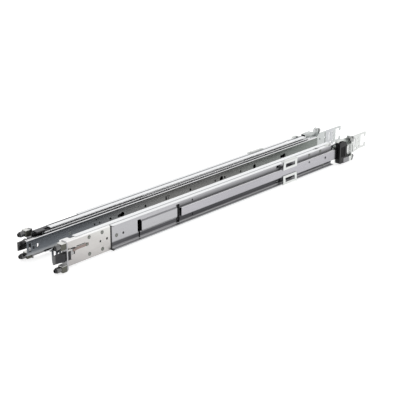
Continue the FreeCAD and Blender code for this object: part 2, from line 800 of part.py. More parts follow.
def lock_rivet():
    """Shouldered rivet that the lock lever swings on."""
    x = inner_web_x + sheet + lock_gap + lock_sheet + lock_play
    shank = rod_x(lock_pivot, axis_z, rivet_radius, inner_web_x, x)
    return shank.fuse(rod_x(lock_pivot, axis_z, rivet_head_radius, x, x + lock_head_height))


def front_guide():
    """Black plastic guide under the bracket's roof, ahead of the outer member."""
    roof_under = post_high - bracket_drop - sheet
    low = axis_z + middle_half + guide_gap
    pad_x = middle_outer_x + guide_gap
    return rail_run([
        (slide_inner_x, low), (pad_x, low), (pad_x, axis_z + guide_pad), (slide_outer_x, axis_z + guide_pad),
        (slide_outer_x, roof_under), (slide_inner_x + roof_step, roof_under),
        (slide_inner_x, low + guide_slope)], guide_front, roof_rear)


def extension_bar():
    """Bar of C section that runs in the guide channel and sets the mounting depth, deeper at its rear."""
    step = outer_rear - bar_step_lead
    low, high = axis_z - bar_half, axis_z + bar_half
    slim = rail_run(c_section(bar_x, bar_outer_x, low, high, bar_sheet, bar_bend, bar_bend - bar_sheet),
                    bar_front, step)
    deep = rail_run(c_section(bar_x, bar_outer_x, axis_z - bar_low, high, bar_sheet, bar_bend,
                              bar_bend - bar_sheet), step, bar_rear)
    link = block(bar_outer_x - bar_sheet, bar_outer_x, step - bar_sheet, step + bar_sheet,
                 low + bar_bend, high - bar_bend)
    holes = rivet_holes(rear_rivets(), bar_x, bar_outer_x)
    return slim.fuse([deep, link]).cut(holes + holes_x(bar_holes, bar_x, bar_outer_x)).removeSplitter()


def rear_bracket():
    """Rear side plate with its mounting flange, a corner tab and a strap over the plastic housing."""
    plane = mount_depth
    front = outer_rear + bracket_clearance
    inner = bracket_inner_x + sheet
    side = side_plate([
        (front, axis_z - bracket_neck, tab_corner), (housing_front, axis_z - bracket_neck),
        (housing_front, post_low), (plane, post_low), (plane, post_high), (housing_front, post_high),
        (housing_front, axis_z + bracket_neck), (front, axis_z + bracket_neck, tab_corner)],
        bracket_inner_x, sheet)
    tab_outline = rectangle(plane - tab_length, plane - flange_sheet / 2, tab_low, tab_high, tab_corner / 2)
    tab = side_plate(tab_outline, flange_outer_x - sheet, sheet)
    strap_middle = (housing_front + housing_rear) / 2
    strap = arch(strap_middle - strap_length / 2, strap_middle + strap_length / 2, strap_foot, strap_rise,
                 bracket_inner_x, strap_reach_x)
    body = side.fuse([mounting_flange(plane, 1, bracket_inner_x), tab, strap]
                     + latch_lugs(plane, 1, inner - tail_gap))
    return body.cut(rivet_holes(rear_rivets(), bracket_inner_x, inner)).removeSplitter()


def rear_housing():
    """Black plastic housing that caps the end of the bar and covers the claw's tail."""
    inner = bracket_inner_x + sheet
    face_x = bar_outer_x + tail_gap
    shell = side_plate([
        (housing_front, housing_base, housing_corner), (housing_rear, housing_base, housing_corner),
        (housing_rear, housing_top, housing_arch), (housing_front, housing_top, housing_corner)],
        inner, housing_outer_x - inner)
    bar_room = block(inner - 1, face_x, housing_front - 1, housing_rear + 1,
                     axis_z - bar_low - housing_gap, axis_z + bar_half + housing_gap)
    hollow = block(inner - 1, housing_outer_x - housing_wall - grip_depth, housing_front + housing_wall,
                   housing_rear - housing_wall, axis_z - housing_room_half, axis_z + housing_room_half)
    grip_outline = rectangle(housing_front + grip_inset, housing_rear - grip_inset,
                             axis_z - grip_half, axis_z + grip_half, tab_corner)
    grip = side_plate(grip_outline, housing_outer_x - grip_depth, 2 * grip_depth)
    tab_front = mount_depth - tab_length - tab_gap
    tab_room = block(flange_outer_x - sheet - tab_gap, housing_outer_x + 1, tab_front, housing_rear + 1,
                     0, tab_high + tab_gap)
    shell = shell.cut([bar_room, hollow, grip, tab_room])
    step = (housing_length - 2 * grip_inset) / (grip_ribs + 1)
    starts = [housing_front + grip_inset + step * (index + 1) - rib_width / 2 for index in range(grip_ribs)]
    ribs = [block(housing_outer_x - grip_depth, housing_outer_x - tab_gap, y, y + rib_width,
                  axis_z - grip_half, axis_z + grip_half) for y in starts]
    return shell.fuse(ribs)


def cable_arm_plate():
    """Plate behind the rack post with two hooks that face each other and hold a cable arm."""
    fixed_x = bracket_inner_x - arm_sheet
    low, high = axis_z - arm_low, axis_z + arm_high
    front = mount_depth - arm_lead
    jog_start, jog_end = mount_depth - arm_jog_lead, mount_depth - arm_jog_trail
    strip = plan_plate([
        (fixed_x, front), (fixed_x + arm_sheet, front), (fixed_x + arm_sheet, jog_start, bend),
        (arm_x + arm_sheet, jog_end, bend), (arm_x + arm_sheet, rear_tip), (arm_x, rear_tip),
        (arm_x, jog_end, bend), (fixed_x, jog_start, bend)], low - 2 * hook_bar, high - low + 4 * hook_bar)
    hook_low = low + arm_tip_rise
    flare = jog_end + hook_bar
    form = side_plate([
        (front, axis_z - arm_waist, arm_corner), (flare, axis_z - arm_waist),
        (flare + hook_tip, low - arm_foot_drop, arm_corner),
        (arm_rear - 5 * hook_tip, low - arm_foot_drop), (arm_rear - hook_tip, hook_low),
        (rear_tip, hook_low, arm_corner), (rear_tip, hook_low + hook_drop, arm_corner),
        (rear_tip - hook_tip, hook_low + hook_drop, arm_corner),
        (rear_tip - hook_tip, hook_low + hook_bar, arm_corner), (arm_rear, hook_low + hook_bar, arm_corner),
        (arm_rear, high - hook_bar, arm_corner), (rear_tip - hook_tip, high - hook_bar, arm_corner),
        (rear_tip - hook_tip, high - hook_drop, arm_corner), (rear_tip, high - hook_drop, arm_corner),
        (rear_tip, high, arm_corner), (flare + hook_tip, high), (flare, axis_z + arm_waist),
        (front, axis_z + arm_waist, arm_corner)], arm_x - 1, fixed_x + arm_sheet - arm_x + 2)
    holes = rivet_holes(rear_rivets(), arm_x, fixed_x + arm_sheet)
    holes += holes_x(arm_holes, arm_x, fixed_x + arm_sheet, mount_depth)
    slot_front, slot_rear, slot_low, slot_high = arm_slot
    slot = side_plate(rectangle(mount_depth + slot_front, mount_depth + slot_rear, axis_z + slot_low,
                                axis_z + slot_high, arm_corner), arm_x - 1, arm_sheet + 2)
    return strip.common(form).cut(holes + [slot])


def rear_rivet(y, height):
    """Rivet from the cable arm plate to the bar, with a collar that keeps bar and plate apart."""
    collar = rod_x(y, axis_z + height, rear_collar_radius, bar_x, bar_outer_x - bar_sheet)
    return collar.fuse(rod_x(y, axis_z + height, rivet_radius, bracket_inner_x - arm_sheet, bar_outer_x))


def right_rail():
    """Nodes of the right rail, by name."""
    plane = mount_depth
    inside_x, outside_x = slide_outer_x - sheet, slide_outer_x + sheet
    rivets = [rivet(y, height, inside_x, outside_x) for y, height in bracket_rivets()]
    rivets += [rivet(y, height, inside_x, channel_face_x) for y, height in channel_rivets]
    rivets += [rivet(y, height, slide_outer_x, outside_x + spring_leaf) for y, height in spring_rivets()]
    return {
        "front_bracket": front_bracket(),
        "front_blocks": Part.makeCompound(
            [square_block(0, -1, front_block_depth, z) for z in boss_heights()]),
        "front_studs": Part.makeCompound(
            [stud(0, -1, front_block_depth, front_stud_reach, z) for z in boss_heights()]),
        "front_latch": latch_claw(0, -1, front_nose, front_tail, outside_x + tail_gap),
        "front_latch_pin": latch_pin(0, -1),
        "front_latch_spring": latch_spring(),
        "front_guide": front_guide(),
        "bracket_rivets": Part.makeCompound(rivets),
        "outer_member": outer_member(),
        "guide_channel": guide_channel(),
        "guide_clips": Part.makeCompound([guide_clip(side) for side in (-1, 1)] + [lip_stop()]),
        "middle_member": middle_member(),
        "outer_ball_cage": ball_cage(slide_inner_x + cage_sheet, inside_x - outer_cage_gap, outer_ball_x,
                                     outer_ball_z),
        "outer_balls": balls(outer_ball_x, outer_ball_z),
        "inner_member": inner_member(),
        "inner_ball_cage": ball_cage(slide_inner_x + cage_ball_clearance,
                                     middle_outer_x - sheet - inner_cage_gap, inner_ball_x, inner_ball_z),
        "inner_balls": balls(inner_ball_x, inner_ball_z),
        "slide_lock": slide_lock(),
        "slide_lock_rivet": lock_rivet(),
        "extension_bar": extension_bar(),
        "rear_bracket": rear_bracket(),
        "rear_blocks": Part.makeCompound(
            [square_block(plane, 1, rear_block_depth, z) for z in boss_heights()]),
        "rear_studs": Part.makeCompound(
            [stud(plane, 1, rear_block_depth, rear_stud_reach, z) for z in boss_heights()]),
        "rear_latch": latch_claw(plane, 1, rear_nose, rear_tail, bar_x + tail_gap),
        "rear_latch_pin": latch_pin(plane, 1),
        "rear_latch_housing": rear_housing(),
        "rear_rivets": Part.makeCompound([rear_rivet(y, height) for y, height in rear_rivets()]),
        "cable_arm_plate": cable_arm_plate(),
    }


inner_slide_nodes = ("inner_member", "slide_lock", "slide_lock_rivet")
os.makedirs("parts", exist_ok=True)
for name, shape in right_rail().items():
    shape.translate(Vec(0, shift_y, 0))
    shape.mirror(Vec(0, 0, 0), Vec(1, 0, 0)).exportStep("parts/left_" + name + ".step")
    if name in inner_slide_nodes:
        shape.translate(Vec(0, right_slide_inset, 0))
    shape.exportStep("parts/right_" + name + ".step")
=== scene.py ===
import math

import bmesh
import bpy
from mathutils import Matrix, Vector


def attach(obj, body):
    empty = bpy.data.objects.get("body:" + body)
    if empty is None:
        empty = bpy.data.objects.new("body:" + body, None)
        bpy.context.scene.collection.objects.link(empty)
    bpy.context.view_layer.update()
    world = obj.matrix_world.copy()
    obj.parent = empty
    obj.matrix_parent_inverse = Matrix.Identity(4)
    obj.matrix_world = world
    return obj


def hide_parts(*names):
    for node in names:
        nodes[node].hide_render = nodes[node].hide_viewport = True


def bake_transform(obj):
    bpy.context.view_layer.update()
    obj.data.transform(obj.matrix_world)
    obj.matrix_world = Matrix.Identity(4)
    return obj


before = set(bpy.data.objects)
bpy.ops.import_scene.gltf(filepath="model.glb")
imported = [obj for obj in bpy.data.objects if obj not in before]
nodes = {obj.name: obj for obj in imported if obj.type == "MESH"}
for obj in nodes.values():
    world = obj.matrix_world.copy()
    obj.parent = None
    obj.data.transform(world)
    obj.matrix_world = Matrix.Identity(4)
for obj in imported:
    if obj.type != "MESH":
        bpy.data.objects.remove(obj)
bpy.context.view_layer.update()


# Camera
# The photograph's view: a long lens in front of the pair, to the right of it and a little above.
camera_data = bpy.data.cameras.new("camera")
camera_data.sensor_width = 36
camera_data.lens = 104.5
camera = bpy.data.objects.new("camera", camera_data)
camera.location = (1.1180, -1.2707, 0.6138)
camera_azimuth = math.radians(42.19)
camera_elevation = math.radians(19.95)
camera.rotation_euler = (math.radians(90) - camera_elevation, 0, camera_azimuth)
bpy.context.scene.collection.objects.link(camera)
bpy.context.scene.camera = camera
bpy.context.scene.view_settings.view_transform = "Standard"


# Floor and light
# A plain white floor that runs on into a white background, under one large soft lamp overhead
# and a weaker one from the front, as for a picture of a part in a catalogue.
class Value:
    """A socket of a node tree, on which arithmetic adds Math nodes."""

    def __init__(self, finish, socket):
        self.finish = finish
        self.socket = socket

    def _math(self, operation, first, second):
        return self.finish.node("Math", {"operation": operation}, {0: first, 1: second})

    def __add__(self, other):
        return self._math("ADD", self, other)

    def __radd__(self, other):
        return self._math("ADD", other, self)

    def __sub__(self, other):
        return self._math("SUBTRACT", self, other)

    def __rsub__(self, other):
        return self._math("SUBTRACT", other, self)

    def __mul__(self, other):
        return self._math("MULTIPLY", self, other)

    def __rmul__(self, other):
        return self._math("MULTIPLY", other, self)

    def spread(self, low, high):
        """This value rescaled so that low becomes 0 and high becomes 1, with soft ends."""
        return self.finish.node("MapRange", {"interpolation_type": "SMOOTHSTEP"},
                                {"Value": self, "From Min": low, "From Max": high})

    def above(self, edge, soft=0.0001):
        """1 above an edge and 0 below it."""
        return self.spread(edge - soft, edge + soft)

    def below(self, edge, soft=0.0001):
        """1 below an edge and 0 above it."""
        return 1 - self.above(edge, soft)

    def between(self, low, high, soft=0.0001):
        """1 from low to high and 0 elsewhere."""
        return self.above(low, soft) * self.below(high, soft)


class Finish:
    """The node tree of a material or the world, with a method for nodes of any kind."""

    def __init__(self, owner):
        owner.use_nodes = True
        self.owner = owner
        self.tree = owner.node_tree
        self.tree.nodes.clear()

    def node(self, kind, settings=None, sockets=None, out=0):
        made = self.tree.nodes.new("ShaderNode" + kind)
        for key, value in (settings or {}).items():
            setattr(made, key, value)
        for key, value in (sockets or {}).items():
            if isinstance(value, Value):
                self.tree.links.new(value.socket, made.inputs[key])
            else:
                made.inputs[key].default_value = value
        return Value(self, made.outputs[out]) if made.outputs else None

    def blend(self, share, first, second):
        """Colour between two colours."""
        return self.node("Mix", {"data_type": "RGBA"}, {0: share, 6: first, 7: second}, 2)

    def noise(self, scale, detail=2.0):
        """Noise on the piece's own coordinates, with one scale for each axis, in lumps a metre."""
        place = self.node("TexCoord", out=3)
        place = self.node("Mapping", None, {"Vector": place, "Scale": scale})
        return self.node("TexNoise", None, {"Vector": place, "Scale": 1.0, "Detail": detail})

    def place(self):
        """Distance from the pair's middle plane, place along the rail and height, in metres."""
        split = self.node("SeparateXYZ", None, {"Vector": self.node("TexCoord", out=3)})
        x, y, z = (Value(self, socket) for socket in split.socket.node.outputs)
        return self.node("Math", {"operation": "ABSOLUTE"}, {0: x}), y, z


def seen_directly(finish):
    """1 for what the camera sees, straight, in metal or through glass."""
    path = finish.node("LightPath")
    outputs = path.socket.node.outputs
    direct = Value(finish, outputs["Is Camera Ray"]) + Value(finish, outputs["Is Glossy Ray"])
    return direct + Value(finish, outputs["Is Transmission Ray"])


world = bpy.data.worlds.new("studio")
bpy.context.scene.world = world
room = Finish(world)
fill_strength = 0.55
room_light = room.node("Background", None, {
    "Color": (1, 1, 1, 1),
    "Strength": fill_strength + seen_directly(room) * (1 - fill_strength)})
room.node("OutputWorld", None, {"Surface": room_light})

floor_half = 6.0
floor_drop = 0.0002
floor_mesh = bpy.data.meshes.new("floor")
floor_mesh.from_pydata(
    [(x * floor_half, y * floor_half, -floor_drop)
     for x, y in ((-1, -1), (1, -1), (1, 1), (-1, 1))], [], [(0, 1, 2, 3)])
floor = bpy.data.objects.new("floor", floor_mesh)
bpy.context.scene.collection.objects.link(floor)
paper = Finish(bpy.data.materials.new("white_paper"))
paper_light = 0.72
paper_far_light = 0.4
paper_near = 0.8
paper_far = 2.5
paper_fibre = paper.noise((300, 300, 300))
paper_place = paper.node("TexCoord", out=3)
paper_reach = paper.node("VectorMath", {"operation": "LENGTH"}, {0: paper_place}, 1)
paper_glow = paper_light + paper_far_light * paper_reach.spread(paper_near, paper_far)
paper_surface = paper.node("BsdfPrincipled", None, {
    "Base Color": paper.blend(paper_fibre, (0.64, 0.64, 0.64, 1), (0.68, 0.68, 0.68, 1)),
    "Roughness": 0.9,
    "Specular IOR Level": 0.2,
    "Emission Color": seen_directly(paper) * paper_glow,
    "Emission Strength": 1.0})
paper.node("OutputMaterial", None, {"Surface": paper_surface})
floor_mesh.materials.append(paper.owner)


def soft_lamp(name, place, target, size, power, mirrored=True):
    """Square soft lamp turned to a point. One that isn't mirrored leaves no glare on metal."""
    light = bpy.data.lights.new(name, "AREA")
    light.size = size
    light.energy = power
    lamp = bpy.data.objects.new(name, light)
    lamp.location = place
    lamp.rotation_euler = (Vector(target) - Vector(place)).to_track_quat("-Z", "Y").to_euler()
    lamp.visible_glossy = mirrored
    bpy.context.scene.collection.objects.link(lamp)


soft_lamp("overhead_lamp", (-0.4, 0.3, 1.6), (0, 0, 0), 1.6, 9.0, mirrored=False)
soft_lamp("front_lamp", (1.2, -1.6, 1.2), (0, -0.1, 0), 0.8, 2.0, mirrored=False)
soft_lamp("back_lamp", (-1.39, 1.53, 0.75), (0, 0, 0), 1.6, 0.9)


# Outer slide members
# Fixed members of the slides. Cold-rolled steel strip, zinc plated and roll-formed into a deep C,
# with painted highlights along its top and open edges, and painted shade in black
# where its web meets the channel.
def plated_steel(name, pale, dark, smooth, rough, marks=(), grain=1.0, edge_round=0.0006):
    """Zinc-plated strip: rolling lines along the rail, faint clouds, rub marks, specks, and marks
    where the piece is worn or dirty or where light and shade are painted, each a share worked out
    from the place and a colour."""
    finish = Finish(bpy.data.materials.new(name))
    clouds = finish.noise((16, 7, 16), 3).spread(0.36, 0.64)
    rolling = finish.noise((900, 12, 900), 3).spread(0.3, 0.7)
    specks = finish.noise((1600, 1600, 1600)).spread(0.35, 0.65)
    rubs = finish.noise((70, 26, 70), 4).spread(0.5, 0.72)
    scratches = finish.noise((2300, 45, 2300)).spread(0.66, 0.74)
    tone = clouds * 0.45 + rolling * 0.3 + specks * 0.15 + scratches * 0.1
    colour = finish.blend(tone, dark, pale)
    across, along, up = finish.place()
    for share, mark in marks:
        colour = finish.blend(share(across, along, up) * (0.86 + tone * 0.14), colour, mark)
    gloss = rolling * 0.35 + rubs * 0.45 + specks * 0.2
    relief = rolling * 0.5 + specks * 0.35 - scratches * 0.6
    rounding = finish.node("Bevel", {"samples": 6}, {"Radius": edge_round})
    normal = finish.node("Bump", None, {
        "Strength": 0.18 * grain, "Distance": 0.0002, "Height": relief, "Normal": rounding})
    surface = finish.node("BsdfPrincipled", None, {
        "Base Color": colour,
        "Metallic": 1.0,
        "Roughness": smooth + gloss * (rough - smooth),
        "Normal": normal})
    finish.node("OutputMaterial", None, {"Surface": surface})
    return finish.owner


def dress(kind, material, sides=("right", "left")):
    """Puts a finish on one kind of node, on both rails or on one."""
    for side in sides:
        for slot in nodes[side + "_" + kind].material_slots:
            slot.material = material


member_top = 0.03988
open_edge_x = 0.0216
outer_web_x = 0.0306
# Widths of the bands painted along the tops and open edges.
top_band = 0.0006
edge_band = 0.0002
band_soft = 0.0004
seam_inward = 0.0014
# Painted highlights: the tops and the open edges of the members are painted light.
edge_highlight = (0.90, 0.90, 0.91, 1)
top_highlight = (0.82, 0.83, 0.84, 1)
seam_grey = (0.34, 0.35, 0.36, 1)
# Painted shade, black: on the outer member's web under the channel, in the slots and behind them.
shade_black = (0.010, 0.010, 0.011, 1)
slotted_web_x = 0.0285
front_slot = {"y": (-0.20315, -0.19685), "z": (0.0142, 0.0320)}
front_slot_tail = {"y": (-0.20130, -0.19870), "z": (0.0050, 0.0142)}
rear_slot = {"y": (-0.12435, -0.11705), "z": (0.0050, 0.0333)}


def slot_walls(x, y, z):
    """The slots at the two ends of the channel's pad, with painted black shade on their walls."""
    front, tail, rear = (y.between(*slot["y"]) * z.between(*slot["z"])
                         for slot in (front_slot, front_slot_tail, rear_slot))
    return (front + tail + rear) * x.above(slotted_web_x)


outer_steel = plated_steel(
    "outer_steel", (0.56, 0.57, 0.58, 1), (0.44, 0.45, 0.46, 1), 0.24, 0.40, (
        (lambda x, y, z: z.above(member_top - top_band, band_soft), top_highlight),
        (lambda x, y, z: z.above(member_top - top_band)
            * x.above(outer_web_x - seam_inward, band_soft), seam_grey),
        (lambda x, y, z: x.below(open_edge_x + edge_band), edge_highlight),
        # painted shade, black, on the web where the channel covers it
        (lambda x, y, z: x.above(outer_web_x - edge_band), shade_black),
        (slot_walls, shade_black)), edge_round=0.0010)
dress("outer_member", outer_steel)


# Guide channels
# Channel on the outboard side of each slide, of the same strip, that the extension bar runs in.
# Its web is pressed out in a pad and riveted to the slide. Its top carries a painted highlight,
# and it has painted shade above the bar, along the foot of the web, at its cut end
# and in its slots.
seam_outward = 0.0012
channel_inside_x = 0.0361
channel_start = -0.2555
bar_top = 0.02837
bar_start = {"edge": -0.117, "soft": 0.001}
bar_shade = {"edge": bar_top + 0.0050, "soft": 0.0050}
bar_shade_grey = (0.13, 0.13, 0.135, 1)
# Painted shade along the foot of the channel's web, down to the lower lip.
foot_shade = {"low": 0.0070, "high": 0.0132, "soft": 0.0013}
foot_shade_start = {"edge": -0.262, "soft": 0.012}
foot_shade_grey = (0.055, 0.055, 0.06, 1)
lower_lip = {"edge": 0.0062, "soft": 0.0006}
lower_lip_grey = (0.44, 0.44, 0.45, 1)
# Painted shadow, black, across the channel's cut front end.
cut_end = {"edge": channel_start + 0.0026, "soft": 0.0003}
cut_end_top = member_top - 0.001
cut_end_shadow = (0.02, 0.02, 0.02, 1)
channel_steel = plated_steel(
    "channel_steel", (0.46, 0.46, 0.475, 1), (0.385, 0.385, 0.40, 1), 0.26, 0.42, (
        (lambda x, y, z: z.below(**bar_shade) * y.above(**bar_start) * x.below(channel_inside_x),
         bar_shade_grey),
        (lambda x, y, z: z.between(**foot_shade) * y.above(**foot_shade_start)
            * x.below(channel_inside_x), foot_shade_grey),
        (lambda x, y, z: z.below(**lower_lip), lower_lip_grey),
        (lambda x, y, z: z.above(member_top - top_band, band_soft), top_highlight),
        (lambda x, y, z: z.above(member_top - top_band)
            * x.below(outer_web_x + seam_outward, band_soft), seam_grey),
        (lambda x, y, z: y.below(**cut_end) * z.below(cut_end_top), cut_end_shadow),
        # painted shade, black, in the slots
        (slot_walls, shade_black)))
dress("guide_channel", channel_steel)


# Middle and inner members
# Two smaller C sections nested in the outer one on balls, in a darker grey. The middle one has
# painted shade, black, where the channel's slots open on it, and both carry painted highlights
# along their edges.
behind_front_slot = {"low": -0.2035, "high": -0.1925, "soft": 0.0006}
behind_rear_slot = {"low": -0.1250, "high": -0.1125, "soft": 0.0006}
behind_slots_z = (0.0030, 0.0345)
middle_web_x = 0.0272
middle_steel = plated_steel(
    "middle_steel", (0.40, 0.41, 0.42, 1), (0.28, 0.29, 0.30, 1), 0.22, 0.38, (
        (lambda x, y, z: x.below(open_edge_x + edge_band), edge_highlight),
        # painted shade, black, where the channel's slots open on the middle member
        (lambda x, y, z: (y.between(**behind_front_slot) + y.between(**behind_rear_slot))
            * z.between(*behind_slots_z) * x.above(middle_web_x), shade_black)), edge_round=0.0014)
dress("middle_member", middle_steel)
inner_top = 0.03288
inner_top_band = 0.0012
inner_front = {"edge": -0.20, "soft": 0.12}
inner_front_blue = (0.135, 0.148, 0.165, 1)
inner_rear = {"edge": 0.12, "soft": 0.14}
inner_rear_green = (0.215, 0.235, 0.220, 1)
# Painted sheen: the inner member's foot is lighter towards its front tip.
inner_foot = {"edge": 0.0140, "soft": 0.0025}
inner_tip = {"edge": -0.26, "soft": 0.04}
inner_tip_sheen = (0.32, 0.33, 0.34, 1)
inner_steel = plated_steel(
    "inner_steel", (0.24, 0.24, 0.235, 1), (0.19, 0.19, 0.185, 1), 0.22, 0.38, (
        (lambda x, y, z: y.below(**inner_front), inner_front_blue),
        (lambda x, y, z: y.above(**inner_rear), inner_rear_green),
        (lambda x, y, z: z.below(**inner_foot) * y.below(**inner_tip), inner_tip_sheen),
        # painted highlight along the inner member's top
        (lambda x, y, z: z.above(inner_top - inner_top_band, band_soft), edge_highlight)),
    edge_round=0.0014)
dress("inner_member", inner_steel)


# Front brackets
# Thicker steel sheet, punched and bent round the front of the slide, with a pale zinc plating that
# has a faint warm tint. Both carry painted shade low at the front, painted light high at the rear
# and a painted highlight on the roof. The left one has painted shade on its roof and on the face
# towards the slide.
# Painted shade low at the front, painted light high at the rear and a painted highlight on the
# roof.
slant = 0.35
lower_front = {"edge": -0.098, "soft": 0.018}
lower_front_shade = (0.40, 0.385, 0.38, 1)
upper_rear = {"edge": -0.062, "soft": 0.014}
upper_rear_light = (0.66, 0.665, 0.64, 1)
bracket_roof = {"edge": 0.0376, "soft": 0.0006}
bracket_roof_highlight = (0.84, 0.84, 0.84, 1)
flange_face = {"edge": -0.3408, "soft": 0.0006}
flange_face_zinc = (0.40, 0.40, 0.41, 1)
bracket_marks = (
    (lambda x, y, z: (z + y * slant).below(**lower_front), lower_front_shade),
    (lambda x, y, z: (z + y * slant).above(**upper_rear), upper_rear_light),
    (lambda x, y, z: z.above(**bracket_roof), bracket_roof_highlight),
    (lambda x, y, z: y.below(**flange_face), flange_face_zinc))
# Painted shade on the left bracket: grey on the face towards the slide and black on the roof.
shaded_face = {"edge": 0.0313, "soft": 0.0004}
shaded_face_grey = (0.20, 0.20, 0.205, 1)
shaded_roof_side = {"edge": 0.0316, "soft": 0.0004}
shaded_roof = {"edge": 0.0374, "soft": 0.0003}
shaded_roof_black = (0.07, 0.07, 0.075, 1)
shade_marks = (
    (lambda x, y, z: x.below(**shaded_face), shaded_face_grey),
    (lambda x, y, z: x.below(**shaded_roof_side) * z.above(**shaded_roof), shaded_roof_black))
for side, name, marks in (("right", "bracket_zinc", bracket_marks),
                          ("left", "shaded_zinc", bracket_marks + shade_marks)):
    warm_zinc = plated_steel(
        name, (0.58, 0.565, 0.55, 1), (0.48, 0.465, 0.455, 1), 0.30, 0.46, marks)
    dress("front_bracket", warm_zinc, (side,))


# Rear brackets, cable arm plates and clips
# The same sheet in a brighter zinc, greyer on the left, where two dark bands cross it. The
# brighter zinc has painted shade on its inboard part. The rear bracket slides with the bar, the
# arm plate stands behind the rack post, and the clips fold over the channel's lips.
tab_y = (0.2785, 0.2955)
tab_top = 0.0105
tab_x = 0.0385
tab_grey = (0.24, 0.24, 0.25, 1)
# Painted shade on the inboard part of the brighter zinc.
inner_part_y = (0.2560, 0.3120)
inner_part_x = 0.0335
inner_part_shade = (0.50, 0.53, 0.51, 1)
bright_zinc = plated_steel(
    "bright_zinc", (0.72, 0.735, 0.72, 1), (0.60, 0.615, 0.60, 1), 0.28, 0.44, (
        (lambda x, y, z: y.between(*tab_y) * z.below(tab_top) * x.above(tab_x), tab_grey),
        (lambda x, y, z: y.between(*inner_part_y) * x.below(inner_part_x), inner_part_shade)))
arm_plate_x = 0.0312
# Two dark bands across the inboard side of the left rear pieces.
dark_band_front = {"low": 0.2688, "high": 0.2712, "soft": 0.0003}
dark_band_rear = {"low": 0.3156, "high": 0.3176, "soft": 0.0003}
dark_band_z = (0.0110, 0.0340)
dark_band_black = (0.06, 0.065, 0.06, 1)
cloud = {"low": 0.3190, "high": 0.3400, "soft": 0.0040}
cloud_grey = (0.51, 0.52, 0.535, 1)
banded_zinc = plated_steel(
    "banded_zinc", (0.60, 0.62, 0.615, 1), (0.48, 0.50, 0.495, 1), 0.28, 0.44, (
        (lambda x, y, z: (y.between(**dark_band_front) + y.between(**dark_band_rear))
            * z.between(*dark_band_z) * x.below(arm_plate_x), dark_band_black),
        (lambda x, y, z: y.between(**cloud) * x.below(arm_plate_x), cloud_grey)))
dress("guide_clips", bright_zinc)
for kind in ("rear_bracket", "cable_arm_plate"):
    dress(kind, bright_zinc, ("right",))
    dress(kind, banded_zinc, ("left",))


# Extension bars
# Drawn steel bar of C profile that slides in the channel and carries the rear bracket. It is more
# lavender than the sheet round it, with a painted highlight along the top and painted shadow,
# black, where it enters the housing.
# Painted highlight along the bar's top and painted shadow, black, where it enters the housing.
bar_edge = {"edge": bar_top - 0.0009, "soft": 0.0003}
bar_top_highlight = (0.80, 0.80, 0.81, 1)
bar_end = {"edge": 0.2592, "soft": 0.0015}
housing_shadow_black = (0.03, 0.03, 0.032, 1)
bar_steel = plated_steel(
    "bar_steel", (0.44, 0.435, 0.46, 1), (0.375, 0.37, 0.395, 1), 0.24, 0.36, (
        (lambda x, y, z: z.above(**bar_edge), bar_top_highlight),
        (lambda x, y, z: y.above(**bar_end), housing_shadow_black)))
dress("extension_bar", bar_steel)


# Square blocks and studs
# Turned and milled pieces on the flanges. The front blocks are passivated olive with a painted
# highlight on their tops, and the studs are dark from hardening; the rear ones are lighter. Each
# stud has a tapped bore for a fixing screw.
stud_x = 0.036
stud_heights = (0.0055, 0.03725)
# Painted highlight on the tops of the front blocks.
lower_block_top = {"low": 0.0096, "high": 0.0112, "soft": 0.0004}
upper_block_top = {"edge": 0.0414, "soft": 0.0003}
block_top_highlight = (0.72, 0.72, 0.70, 1)
stud_nose = {"edge": -0.3590, "soft": 0.0006}
stud_nose_black = (0.03, 0.03, 0.03, 1)
front_block = plated_steel(
    "front_block", (0.13, 0.13, 0.112, 1), (0.075, 0.076, 0.064, 1), 0.28, 0.44, (
        (lambda x, y, z: z.between(**lower_block_top) + z.above(**upper_block_top),
         block_top_highlight),))
front_stud = plated_steel(
    "front_stud", (0.20, 0.20, 0.20, 1), (0.10, 0.10, 0.10, 1), 0.20, 0.34, (
        (lambda x, y, z: y.below(**stud_nose), stud_nose_black),))
rear_block = plated_steel(
    "rear_block", (0.15, 0.155, 0.15, 1), (0.09, 0.095, 0.09, 1), 0.28, 0.44)
rear_stud = plated_steel(
    "rear_stud", (0.55, 0.55, 0.55, 1), (0.42, 0.42, 0.42, 1), 0.20, 0.34)
dress("front_blocks", front_block)
dress("rear_blocks", rear_block)
dress("front_studs", front_stud)
dress("rear_studs", rear_stud)


